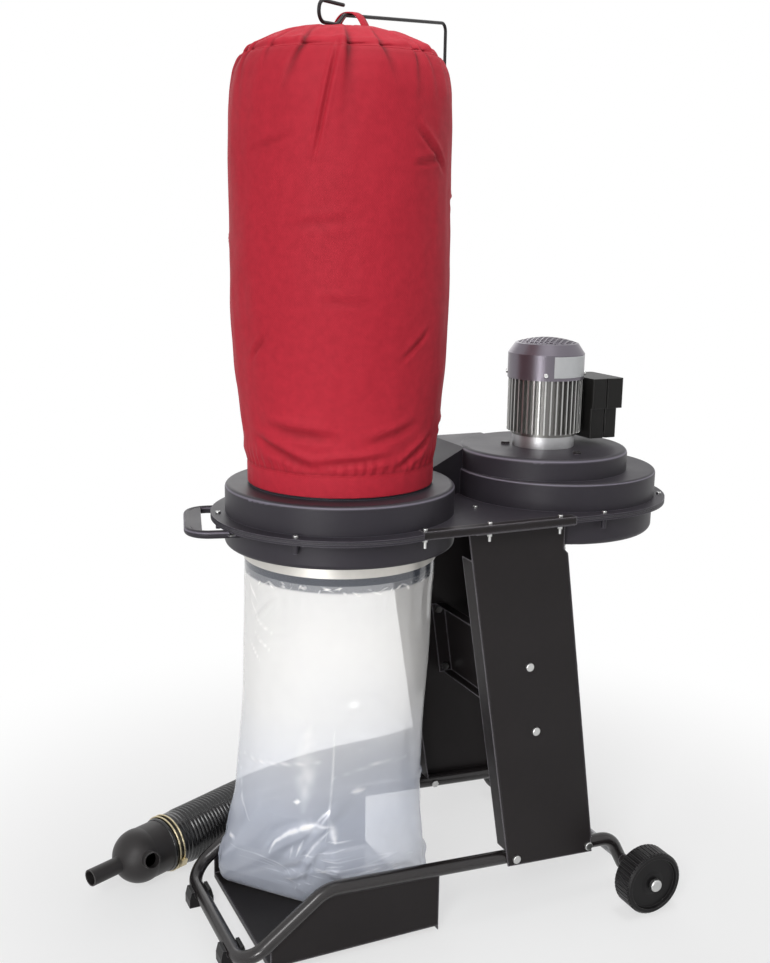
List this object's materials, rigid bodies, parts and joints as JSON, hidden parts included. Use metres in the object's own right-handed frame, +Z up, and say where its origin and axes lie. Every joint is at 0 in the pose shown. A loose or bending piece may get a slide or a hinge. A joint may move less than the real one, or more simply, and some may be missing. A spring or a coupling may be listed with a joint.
{
  "type": "dust collector",
  "caption": "Wheeled workshop dust collector with a red cloth filter bag, a clear dust bag, a fan motor and a ribbed hose with a ball adapter.",
  "frame": {"origin": "on the floor, below the centre of the box round the machine without its hose", "axes": "+Z up, +X from the drum with the bags to the fan and motor, +Y to the side where the hose lies"},
  "size_m": [1.0807, 0.7375, 1.6212],
  "materials": {
    "housing_plastic": "satin",
    "painted_steel": "satin",
    "zinc": "satin",
    "cast_aluminium": "satin",
    "cowl_paint": "satin",
    "filter_cloth": "matte",
    "bag_film": "clear gloss",
    "band_steel": "satin",
    "wheel_plastic": "matte",
    "seal_foam": "matte",
    "lamination": "matte",
    "winding": "satin",
    "bearing_steel": "polished",
    "shaft_steel": "satin",
    "fan_plastic": "satin",
    "impeller_alloy": "satin",
    "switch_plastic": "satin",
    "green_plastic": "satin",
    "red_plastic": "satin",
    "capacitor_can": "satin",
    "hose_plastic": "satin",
    "clamp_wire": "satin",
    "adapter_plastic": "satin"
  },
  "bodies": {
    "machine": {"upper_shell": "housing_plastic", "lower_shell": "housing_plastic", "shell_seal": "seal_foam", "housing_screws": "zinc", "front_rail": "painted_steel", "rear_rail": "painted_steel", "front_leg": "painted_steel", "rear_leg": "painted_steel", "cross_brace": "painted_steel", "leg_bolts": "zinc", "base_frame": "painted_steel", "bag_tray": "painted_steel", "feet": "wheel_plastic", "axle": "shaft_steel", "axle_spacers": "painted_steel", "axle_caps": "zinc", "carry_handle": "housing_plastic", "handle_screws": "zinc", "filter_bag": "filter_cloth", "hanging_loop": "filter_cloth", "hanger_rod": "painted_steel", "rod_socket": "painted_steel", "dust_bag": "bag_film", "dust_bag_band": "band_steel", "latch_pin": "zinc", "motor_plate": "painted_steel", "motor_bolts": "painted_steel", "drive_shield": "cast_aluminium", "motor_body": "cast_aluminium", "rear_shield": "cast_aluminium", "motor_cowl": "cowl_paint", "cowl_screws": "zinc", "stator_core": "lamination", "stator_windings": "winding", "drive_bearing": "bearing_steel", "rear_bearing": "bearing_steel", "switch_base": "switch_plastic", "switch_cover": "switch_plastic", "switch_bezel": "switch_plastic", "capacitor": "capacitor_can", "cable_gland": "switch_plastic", "suction_hose": "hose_plastic", "inlet_clamp": "clamp_wire", "adapter_clamp": "clamp_wire", "ball_adapter": "adapter_plastic"},
    "front_wheel": {"front_wheel": "wheel_plastic"},
    "rear_wheel": {"rear_wheel": "wheel_plastic"},
    "rotor": {"motor_shaft": "shaft_steel", "rotor_core": "lamination", "cooling_fan": "fan_plastic", "impeller": "impeller_alloy", "impeller_nut": "zinc"},
    "button_on": {"button_on": "green_plastic"},
    "button_off": {"button_off": "red_plastic"},
    "latch_lever": {"latch_lever": "band_steel"}
  },
  "joints": [
    {"name": "front_wheel_roll", "type": "hinge", "parent": "machine", "child": "front_wheel", "pos_m": [0.3386, -0.2515, 0.06], "axis": [0, 1, 0], "continuous": true},
    {"name": "rear_wheel_roll", "type": "hinge", "parent": "machine", "child": "rear_wheel", "pos_m": [0.3386, 0.2515, 0.06], "axis": [0, 1, 0], "continuous": true},
    {"name": "rotor_spin", "type": "hinge", "parent": "machine", "child": "rotor", "pos_m": [0.2266, 0, 0.9], "axis": [0, 0, 1], "continuous": true},
    {"name": "button_on_press", "type": "slide", "parent": "machine", "child": "button_on", "axis": [-1, 0, 0], "range_m": [0, 0.003], "stiffness_N_per_m": 600},
    {"name": "button_off_press", "type": "slide", "parent": "machine", "child": "button_off", "axis": [-1, 0, 0], "range_m": [0, 0.003], "stiffness_N_per_m": 600},
    {"name": "latch_swing", "type": "hinge", "parent": "machine", "child": "latch_lever", "pos_m": [-0.2154, 0.17553, 0.694], "axis": [0, 0, 1], "range_deg": [0, 120]}
  ]
}
